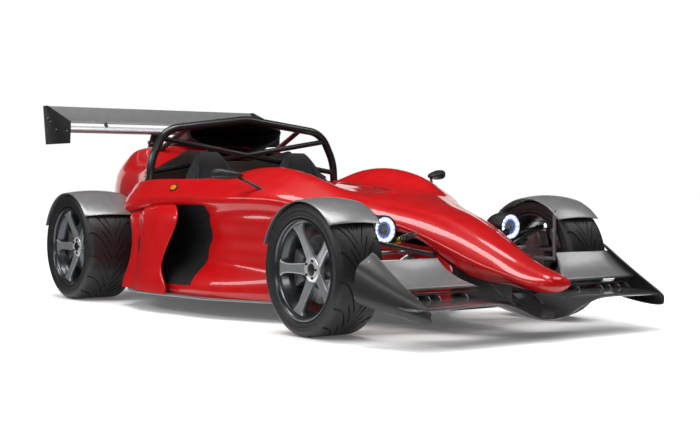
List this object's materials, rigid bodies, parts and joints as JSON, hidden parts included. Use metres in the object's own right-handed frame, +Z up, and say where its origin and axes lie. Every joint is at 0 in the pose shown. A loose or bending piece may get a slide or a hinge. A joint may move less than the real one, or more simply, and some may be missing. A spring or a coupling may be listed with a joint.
{
  "type": "open wheel racing car",
  "caption": "Low two-seat open wheel racing car with exposed suspension, cycle fenders, front and rear wings and a braced roll hoop; front wheels steer and all wheels spin.",
  "frame": {"origin": "on the ground under the middle of the car's length and width", "axes": "+X forward to the nose, +Y to the car's left, +Z up"},
  "size_m": [3.925, 1.774, 1.219],
  "materials": {
    "red_paint": "gloss",
    "carbon": "satin",
    "black_steel": "satin",
    "silver": "satin",
    "steel": "brushed",
    "gunmetal": "satin",
    "tyre": "matte",
    "trim": "matte",
    "lens": "clear",
    "lamp_red": "gloss"
  },
  "bodies": {
    "chassis": {"airbox": "carbon", "dashboard": "carbon", "diffuser": "carbon", "driveshafts": "steel", "engine": "silver", "engine_cover": "red_paint", "exhaust": "steel", "fenders_rear": "carbon", "front_pushrods": "silver", "front_wing_endplates": "carbon", "front_wing_flaps": "carbon", "front_wing_main": "carbon", "front_wishbones": "black_steel", "gearbox": "silver", "headlamp_lenses": "lens", "headlamp_pods": "carbon", "intake_fins": "red_paint", "mirrors": "carbon", "nose": "red_paint", "rain_lamp": "lamp_red", "rear_wing_endplates": "carbon", "rear_wing_planes": "carbon", "rear_wing_pylons": "black_steel", "rear_wishbones": "black_steel", "roll_hoop": "black_steel", "scuttle": "red_paint", "seats": "trim", "side_panel_left": "red_paint", "side_panel_right": "red_paint", "side_radiators": "black_steel", "tub": "carbon", "undertray": "carbon", "uprights_rear": "silver"},
    "steer_right": {"upright_front_right": "silver", "fender_front_right": "carbon"},
    "wheel_front_right": {"rim_front_right": "gunmetal", "tyre_front_right": "tyre", "brake_disc_front_right": "steel"},
    "wheel_rear_right": {"rim_rear_right": "gunmetal", "tyre_rear_right": "tyre", "brake_disc_rear_right": "steel"},
    "steer_left": {"upright_front_left": "silver", "fender_front_left": "carbon"},
    "wheel_front_left": {"rim_front_left": "gunmetal", "tyre_front_left": "tyre", "brake_disc_front_left": "steel"},
    "wheel_rear_left": {"rim_rear_left": "gunmetal", "tyre_rear_left": "tyre", "brake_disc_rear_left": "steel"},
    "steering_rack": {"steering_rack": "silver"},
    "steering_wheel": {"steering_wheel": "trim"}
  },
  "joints": [
    {"name": "steer_right_turn", "type": "hinge", "parent": "chassis", "child": "steer_right", "pos_m": [1.1225, -0.68, 0.314], "axis": [0, 0, 1], "range_deg": [-20, 20]},
    {"name": "steer_left_turn", "type": "hinge", "parent": "chassis", "child": "steer_left", "pos_m": [1.1225, 0.68, 0.314], "axis": [0, 0, 1], "range_deg": [-20, 20]},
    {"name": "rack_slide", "type": "slide", "parent": "chassis", "child": "steering_rack", "axis": [0, 1, 0], "range_m": [-0.0385, 0.0385]},
    {"name": "steering_wheel_turn", "type": "hinge", "parent": "chassis", "child": "steering_wheel", "pos_m": [-0.2875, -0.315, 0.6], "axis": [-0.9397, 0, 0.342], "range_deg": [-180, 180]},
    {"name": "wheel_front_right_spin", "type": "hinge", "parent": "steer_right", "child": "wheel_front_right", "pos_m": [1.1225, -0.858, 0.314], "axis": [0, 1, 0], "continuous": true},
    {"name": "wheel_rear_right_spin", "type": "hinge", "parent": "chassis", "child": "wheel_rear_right", "pos_m": [-1.3975, -0.875, 0.323], "axis": [0, 1, 0], "continuous": true},
    {"name": "wheel_front_left_spin", "type": "hinge", "parent": "steer_left", "child": "wheel_front_left", "pos_m": [1.1225, 0.858, 0.314], "axis": [0, 1, 0], "continuous": true},
    {"name": "wheel_rear_left_spin", "type": "hinge", "parent": "chassis", "child": "wheel_rear_left", "pos_m": [-1.3975, 0.875, 0.323], "axis": [0, 1, 0], "continuous": true}
  ],
  "couplings": [
    {"joint": "steer_left_turn", "follows": "steer_right_turn", "ratio": 1},
    {"joint": "rack_slide", "follows": "steer_right_turn", "m_per_rad": 0.11},
    {"joint": "steering_wheel_turn", "follows": "steer_right_turn", "ratio": 9}
  ]
}
